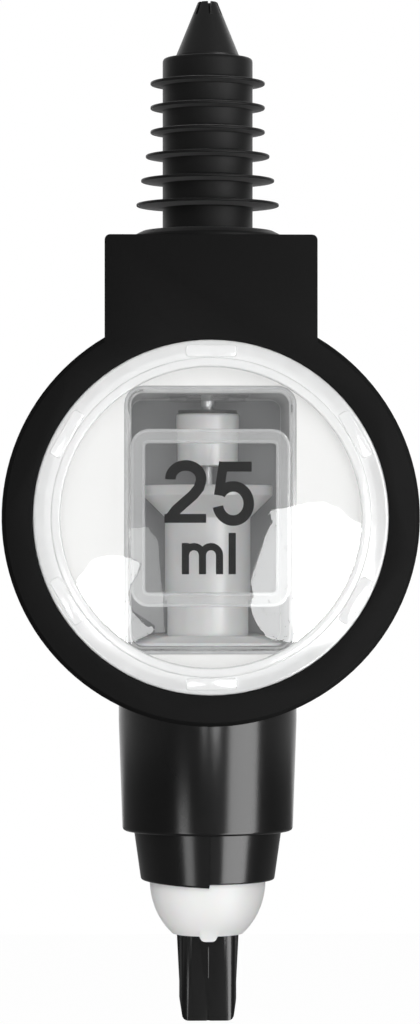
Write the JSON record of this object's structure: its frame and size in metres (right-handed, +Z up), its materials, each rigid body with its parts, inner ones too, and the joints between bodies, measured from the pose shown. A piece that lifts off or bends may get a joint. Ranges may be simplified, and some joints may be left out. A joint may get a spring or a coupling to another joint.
{
  "type": "liquor optic dispenser",
  "caption": "Wall-bracket spirit measure for an upturned bottle: finned cork, round lensed casing, measuring chamber, barrel, nozzle and sprung push-up plunger.",
  "frame": {"origin": "the middle of the cork flange's top face, on the axis of the cork and the spindle, where the bottle's lip lands", "axes": "+Z up, towards the cork's pointed head; the lens faces -Y; +X to the right as seen from the front"},
  "size_m": [0.069, 0.0522, 0.1738],
  "materials": {
    "cork_rubber": "soft satin moulded rubber",
    "seal_rubber": "moulded rubber",
    "gasket_silicone": "natural white silicone",
    "casing_plastic": "matte moulded plastic",
    "gloss_black_plastic": "polished moulded plastic",
    "white_plastic": "smooth moulded plastic",
    "milky_plastic": "milky moulded plastic",
    "clear_lens": "clear polished plastic",
    "clear_chamber": "clear moulded plastic",
    "steel": "bright stainless steel"
  },
  "bodies": {
    "casing": {"cork": "cork_rubber", "inlet_tube": "casing_plastic", "air_tube": "casing_plastic", "inlet_o_ring": "seal_rubber", "front_casing": "casing_plastic", "rear_casing": "casing_plastic", "casing_screws": "steel", "lens": "clear_lens", "lens_gasket": "gasket_silicone", "fascia": "white_plastic", "chamber": "clear_chamber", "chamber_window": "clear_chamber", "inlet_seat": "milky_plastic", "outlet_body": "milky_plastic", "outlet_o_ring": "seal_rubber", "lock_nut": "casing_plastic", "spring_seat": "milky_plastic", "return_spring": "steel", "barrel": "gloss_black_plastic", "collar": "gloss_black_plastic", "nozzle": "white_plastic", "bracket_boss": "casing_plastic", "bracket_screws": "steel"},
    "plunger": {"plunger": "gloss_black_plastic", "spindle": "steel", "outlet_piston": "casing_plastic", "piston_ring": "seal_rubber"},
    "inlet_valve": {"inlet_valve": "milky_plastic", "inlet_seal": "seal_rubber"}
  },
  "joints": [
    {"name": "plunger_slide", "type": "slide", "parent": "casing", "child": "plunger", "axis": [0, 0, 1], "range_m": [0, 0.01], "stiffness_N_per_m": 600, "springref_m": -0.01, "deforming": ["return_spring"]},
    {"name": "inlet_valve_slide", "type": "slide", "parent": "casing", "child": "inlet_valve", "axis": [0, 0, 1], "range_m": [0, 0.0014]}
  ],
  "couplings": [
    {"joint": "inlet_valve_slide", "follows": "plunger_slide", "ratio": 0.14}
  ]
}
